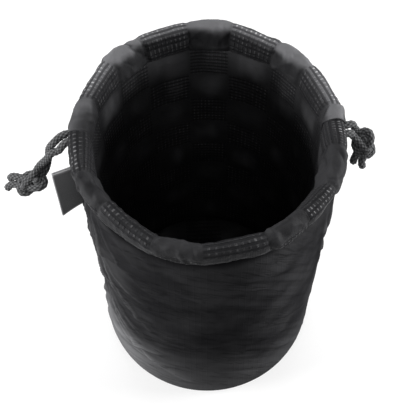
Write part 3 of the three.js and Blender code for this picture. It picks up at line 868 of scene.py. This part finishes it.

# values for the material: where the painted fine crease lines run, and where the folds have painted highlight
# and shade lines beside them
towardsFront = smoothStep(212, 240, facing)
slack = nearEnds * (0.35 + 0.65 * calm) * smoothStep(10, 52, fromFoot) * np.where(facing < 180, 0.5, 1.0)
slack = slack * (1 - 0.6 * smoothStep(180, 186, facing) * (1 - towardsFront))
comeAndGo = 0.45 + 0.55 * smoothStep(-0.35, 0.55, softNoise(aroundWall / 6, gridHeight / 9, 36))
crispFold = crispFold * nearEnds * np.where(facing < 180, 0.3, 1 - 0.86 * towardsFront) * comeAndGo
# painted sheen streaks along the arches
sheenStreaks = sum(np.clip(softNoise(arches / apart, aroundWall / length, seed), 0, 1) * 0.3
              for apart, length, seed in ((1.6, 18, 37), (3.2, 30, 38)))
sheenStreaks = sheenStreaks * calm * smoothStep(2, 34, fromFoot)
# painted light from the floor: lighter towards the base, more at the left and less at the right front
floorBounceLeft = smoothStep(180, 190, facing) * (1 - smoothStep(214, 246, facing))
floorBounceLight = (0.4 + 0.16 * floorBounceLeft - 0.22 * smoothStep(262, 318, facing)) * (1 - smoothStep(8, 66, gridHeight))
# paler fold crests: wear and painted highlight
wearAndHighlight = 0.28 * smoothStep(0.4, 1.6, stands)
shellValues = {
    "fold": np.minimum(wearAndHighlight + 0.2 * sheenStreaks + floorBounceLight + 0.1, 1),
    # painted shade under the collar's hem
    "shade": smoothStep(wallTop - 7, wallTop - 0.5, gridHeight),
    "arch": arches, "around": aroundWall, "beside": besideFold, "crisp": crispFold, "slack": slack,
}
underHem = smoothStep(184, 206, gridAngle) * (1 - smoothStep(334, 356, gridAngle))
raised = gridHeight + shellLook["hemRise"] * underHem * smoothStep(wallTop - 25, wallTop, gridHeight)
shellGrid = aroundZ(gridAngle, wallRadius(gridHeight) + stands - sideSag(gridAngle, gridHeight), raised)


def shellPanel(name, isFront):
    count = shellLook["frontColumns"] if isFront else shellLook["backColumns"]
    first = 0 if isFront else shellLook["frontColumns"]
    obj, u, v = flatCloth(name, count, len(rowHeights) - 1)
    row = np.rint(v * (len(rowHeights) - 1)).astype(int)
    column = (first + np.rint(u * count).astype(int)) % len(columnAngles)
    cut = row * len(columnAngles) + column
    sweep = 180 - 2 * seamTurn if isFront else 180 + 2 * seamTurn
    clothMap(obj, alongCloth(u * sweep), rowHeights[row])
    for key, values in shellValues.items():
        pointValues(obj, key, values[cut])
    # the seam's edges are drawn in, with small puckers beside them
    points = shellGrid[cut]
    angle = np.degrees(np.arctan2(points[:, 1], points[:, 0])) % 360
    height = points[:, 2] / mm
    fromSeam = alongCloth(np.minimum(np.abs(turnFrom(angle, leftSeam)), np.abs(turnFrom(angle, rightSeam))))
    pucker = 0.22 + 0.25 * softNoise(height / 4.0, angle / 90, 41)
    move = (pucker * bell(fromSeam - 2.6, 1.5) - 0.55 * bell(fromSeam, 0.9)) * smoothStep(6, 14, height)
    points[:, :2] *= (1 + move * mm / np.hypot(points[:, 0], points[:, 1]))[:, None]
    writePoints(obj, points)
    thicken(obj, shellLook["thickness"])
    return obj, math.radians(sweep) * clothRadius * mm


for part in ("front", "back"):
    panel, cutWidth = shellPanel(f"shell_{part}", part == "front")
    dress(panel, "shell_nylon", f"outer_{part}_panel")
    drawWithMouth(panel)
    round(cutWidth * 1.01, 4)
print("shell made")


# Padding and lining of the wall
paddingLook = {"outerInset": 1.0, "innerInset": 4.7, "low": 7.0, "high": 139.3, "columns": 60, "rows": 48,
               "seamGap": 0.5, "uneven": 0.12, "mapRadius": 45}
liningLook = {"inset": 5.8, "low": 7.15, "high": 140.2, "columns": 150, "rows": 110, "thickness": 0.4,
              "seed": 61, "seamGap": 0.2, "puff": 0.55, "cutRadius": 40}
squareRow = collarLook["square"]
liningTopSquare = float(crestEdgeArc - sectionArc[-1]) / squareRow


def wallSweep(isFront, gap):
    return (leftSeam + gap, rightSeam - gap) if isFront else (-seamTurn + gap, leftSeam - gap)


def wallCut(name, look, begin, stop):  # a flat cut, with the angle and height of each point on the wall
    obj, u, v = flatCloth(name, look["columns"], look["rows"])
    return obj, begin + (stop - begin) * u, look["low"] + (look["high"] - look["low"]) * v


def ontoWall(obj, angle, z, inset):
    writePoints(obj, aroundZ(angle, wallRadius(z, inset) - sideSag(angle, z), z))


def wallPadding(name, isFront):
    look = paddingLook
    obj, angle, z = wallCut(name, look, *wallSweep(isFront, look["seamGap"]))
    ontoWall(obj, angle, z, look["outerInset"] - softNoise(angle / 12, z / 14, 51) * look["uneven"])
    clothMap(obj, np.radians(angle) * look["mapRadius"], z)
    thicken(obj, look["innerInset"] - look["outerInset"])
    return obj


def wallLining(name, part):
    look, half = liningLook, collarHalves[part]
    begin, stop = wallSweep(part == "front", look["seamGap"])
    obj, angle, z = wallCut(name, look, stop, begin)  # turned so that it faces inwards
    corners = np.array([half["corners"][0] - 20, *half["corners"], half["corners"][-1] + 20])
    square = np.clip(np.searchsorted(corners, angle, side="right") - 1, 0, len(corners) - 2)
    inSquare = (angle - corners[square]) / (corners[square + 1] - corners[square])
    across = half["firstSquare"] - 1 + square + inSquare
    down = liningTopSquare - (look["high"] - z) / squareRow
    isRibbed = (np.floor(across) + np.floor(down)) % 2 == 0
    puff = look["puff"] * np.abs(np.sin(math.pi * inSquare) * np.sin(math.pi * down)) ** 0.6
    puff = puff * np.where(isRibbed, 0.5, 1.0)
    wave = softNoise(angle / 7.0, z / 22.0, look["seed"]) * 0.5
    wave = wave + softNoise(angle / 3.0, z / 9.0, look["seed"] + 1) * 0.18
    nearEnds = smoothStep(0, 10, z - look["low"]) * (1 - smoothStep(-4, 0, z - look["high"]))
    ontoWall(obj, angle, z, look["inset"] + np.clip(puff + wave * 0.6, -0.1, 1.4) * nearEnds)
    clothMap(obj, across, down)
    upperBack = smoothStep(95, 138, z) * bell(angle - 90, 45)  # paler where light falls in
    # paler on the puffs as a painted highlight, and high at the back as painted light
    pointValues(obj, "fold", np.clip(puff + wave * 0.5, 0, 1) * 0.6 + 0.5 * upperBack)
    # weak painted glints on the floats inside
    pointValues(obj, "glint", np.full(len(z), 0.12))
    thicken(obj, look["thickness"])
    return obj, abs(math.radians(stop - begin)) * look["cutRadius"] * mm


for part in ("front", "back"):
    pad = wallPadding(f"padding_{part}", part == "front")
    dress(pad, "padding_foam", f"{part}_foam_pad")
    drawWithMouth(pad)
    inner, cutWidth = wallLining(f"lining_{part}", part)
    dress(inner, "lining_cloth", f"{part}_lining_panel")
    drawWithMouth(inner)
    round(cutWidth * 1.02, 4)
print("padding and lining made")

# Tapes that cover the shell's side seams from inside
tapeLook = {"width": 12.0, "inset": 0.62, "low": 9.0, "high": 139.2, "thickness": 0.26,
            "columns": 12, "rows": 60}
halfTape = math.degrees(tapeLook["width"] / 2 / clothRadius)
for side, middle in (("left", leftSeam), ("right", rightSeam)):
    tape, angle, z = wallCut(f"{side}_tape", tapeLook, middle - halfTape, middle + halfTape)
    ontoWall(tape, angle, z, tapeLook["inset"])
    clothMap(tape, alongCloth(angle - middle + halfTape), z)
    thicken(tape, tapeLook["thickness"])
    dress(tape, "seam_tape", f"{side}_seam_tape")
    drawWithMouth(tape)


# Base: shell disc, lining disc and foam, in millimetres
roundLook = {"sides": 96, "rings": 14, "hem": 6}
outerBaseLook = {"radius": 40.6, "height": 0.2, "relief": 0.3, "seed": 71, "thickness": 0.5}
innerBaseLook = {"radius": 39.2, "height": 6.6, "relief": 0.5, "seed": 72, "thickness": 0.35}
baseFoamLook = {"radius": 38.4, "low": 1.2, "high": 6.2, "edge": 1.6}


def roundCut(name, look):
    deselect()
    bpy.ops.mesh.primitive_circle_add(vertices=roundLook["sides"], radius=look["radius"] * mm,
                                      fill_type="NGON", location=(0, 0, look["height"] * mm))
    obj = named(name)
    bpy.ops.object.mode_set(mode="EDIT")
    bpy.ops.mesh.select_all(action="SELECT")
    for _ in range(roundLook["rings"]):
        bpy.ops.mesh.inset(thickness=look["radius"] * mm / (roundLook["rings"] + 1))
    bpy.ops.mesh.poke()
    bpy.ops.object.mode_set(mode="OBJECT")
    points = readPoints(obj)
    x, y = points[:, 0] / mm, points[:, 1] / mm
    inside = smoothStep(0, roundLook["hem"], look["radius"] - np.hypot(x, y))
    uneven = 0.5 + 0.5 * softNoise(x / 13 + 9, y / 9 + 9, look["seed"])
    points[:, 2] += look["relief"] * mm * inside * uneven
    writePoints(obj, points)
    if not obj.data.uv_layers:
        obj.data.uv_layers.new(name="cloth")
    obj.data.uv_layers[0].name = "cloth"
    pointValues(obj, "fold", np.clip(0.3 + 0.3 * softNoise(x / 9 + 4, y / 9 + 4, look["seed"]), 0, 1))
    return obj, x, y


outerBase, x, y = roundCut("shell_base", outerBaseLook)
clothMap(outerBase, x, y)
thicken(outerBase, outerBaseLook["thickness"], offset=1)
dress(outerBase, "shell_nylon", "outer_base")
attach(outerBase, "pouch")

innerBase, x, y = roundCut("lining_floor", innerBaseLook)
clothMap(innerBase, x / squareRow + 0.5, y / squareRow + 0.5)
thicken(innerBase, innerBaseLook["thickness"])
dress(innerBase, "lining_cloth", "lining_base")
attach(innerBase, "pouch")

deselect()
bpy.ops.mesh.primitive_cylinder_add(
    vertices=roundLook["sides"], radius=baseFoamLook["radius"] * mm,
    depth=(baseFoamLook["high"] - baseFoamLook["low"]) * mm,
    location=(0, 0, (baseFoamLook["high"] + baseFoamLook["low"]) / 2 * mm))
baseFoam = named("padding_base")
applyModifier(baseFoam, "BEVEL", width=baseFoamLook["edge"] * mm, segments=4, limit_method="ANGLE")
dress(baseFoam, "padding_foam", "base_foam_pad")
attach(baseFoam, "pouch")
print("base made")


# Label: a bare folded ribbon sewn into the left seam
labelLook = {"root": 46.3, "reach": 9.2, "height": 27.0, "low": 112.4, "gap": 0.55, "thickness": 0.44,
             "lean": 18.0, "flare": 1.1, "sag": 0.8, "columns": 76, "rows": 40}


def foldedLabel():
    look = labelLook
    obj, u, v = flatCloth("side_ribbon", look["columns"], look["rows"])
    across = (u - 0.5) * 2  # minus one and one are the two sewn edges, nought is the fold
    quarterTurn = look["gap"] * math.pi / 2
    length = look["reach"] - look["gap"] + quarterTurn
    along = np.abs(across) * length  # from the fold back to the seam
    bend = np.clip(along / look["gap"], 0, math.pi / 2)
    out = look["reach"] - look["gap"] * (1 - np.cos(bend)) - np.maximum(along - quarterTurn, 0)
    aside = np.sign(across) * look["gap"] * np.sin(bend)
    z = look["low"] + look["height"] * v
    free = out / look["reach"]
    curl = look["flare"] * free ** 1.5 * (1 - v) ** 2 - 0.5 * free ** 2 * v ** 2 + 0.25 * np.sin(v * 5) * free
    rootAngle, direction = math.radians(leftSeam), math.radians(leftSeam + look["lean"])
    root = np.array([math.cos(rootAngle), math.sin(rootAngle)]) * look["root"]
    ahead = np.array([math.cos(direction), math.sin(direction)])
    beside = np.array([-math.sin(direction), math.cos(direction)])
    flat = root + out[:, None] * ahead + (aside + curl)[:, None] * beside
    sagged = z - look["sag"] * free ** 2 * (1 - v)
    writePoints(obj, np.stack([flat[:, 0] * mm, flat[:, 1] * mm, sagged * mm], 1))
    clothMap(obj, across * length, z)
    # paler along the cut edges and the fold: painted highlight
    edgeHighlight = bell(np.minimum(v, 1 - v) * look["height"], 0.8) + 0.7 * bell(along, 0.5)
    pointValues(obj, "fold", np.clip(0.15 + 0.85 * edgeHighlight, 0, 1))
    thicken(obj, look["thickness"])
    return obj, length


ribbon, ribbonLength = foldedLabel()
dress(ribbon, "woven_label", "side_label")
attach(ribbon, "label")
round(2 * ribbonLength * mm, 4)
print("label made")


# Floor, light and surroundings
stageLook = {"size": 6, "height": -0.0004, "floor": (0.38, 0.38, 0.38), "floorGlow": 0.635, "farGlow": 0.4,
             "farFrom": 0.2, "farTo": 1.0, "world": 0.04, "aim": (0, 0, 0.08)}


def seenItself(tree):  # one where the camera or a reflection sees the surface itself
    path = tree.nodes.new("ShaderNodeLightPath")
    labels = ("Is Camera Ray", "Is Glossy Ray", "Is Transmission Ray")
    seen, glossy, clear = (Wire(tree, path.outputs[label]) for label in labels)
    return mathNode("MAXIMUM", seen, mathNode("MAXIMUM", glossy, clear))


deselect()
bpy.ops.mesh.primitive_plane_add(size=stageLook["size"], location=(0, 0, stageLook["height"]))
floor = named("floor")
floorMaterial, floorTree, floorShader = newMaterial("floorWhite", {
    "Base Color": stageLook["floor"], "Roughness": 0.9, "Specular IOR Level": 0.1,
    "Emission Color": (1, 1, 1)})
distance = nodeWire(floorTree, "VectorMath", "Value", {0: objectPlace(floorTree)}, operation="LENGTH")
farGlow = ramp(distance, stageLook["farFrom"], stageLook["farTo"], 0.0, stageLook["farGlow"])
setSocket(floorTree, floorShader.inputs["Emission Strength"],
          seenItself(floorTree) * (farGlow + stageLook["floorGlow"]))
floor.data.materials.append(floorMaterial)

lampLook = {  # place, size and power of each soft lamp
    "backLamp": ((0.0, 0.55, 0.95), 0.8, 7.0),
    "frontLamp": ((0.0, -0.55, 0.95), 0.6, 2.0),
    "leftLamp": ((-1.0, -0.1, 0.33), 0.5, 18.0),
    "rightLamp": ((1.0, 0.05, 0.33), 0.5, 18.0),
}
for name, (place, size, power) in lampLook.items():
    deselect()
    bpy.ops.object.light_add(type="AREA", location=place)
    lamp = bpy.context.object
    lamp.name = name
    lamp.data.size, lamp.data.energy = size, power
    lamp.rotation_euler = (Vector(stageLook["aim"]) - Vector(place)).to_track_quat("-Z", "Y").to_euler()

world = bpy.context.scene.world or bpy.data.worlds.new("room")
bpy.context.scene.world = world
world.use_nodes = True
background = world.node_tree.nodes["Background"]
setSocket(world.node_tree, background.inputs["Color"], (1, 1, 1))
strength = seenItself(world.node_tree) * (1 - stageLook["world"]) + stageLook["world"]
setSocket(world.node_tree, background.inputs["Strength"], strength)
print("floor and lamps made")

for name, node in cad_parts.items():
    if not node.hide_render:
        print("left showing:", name)
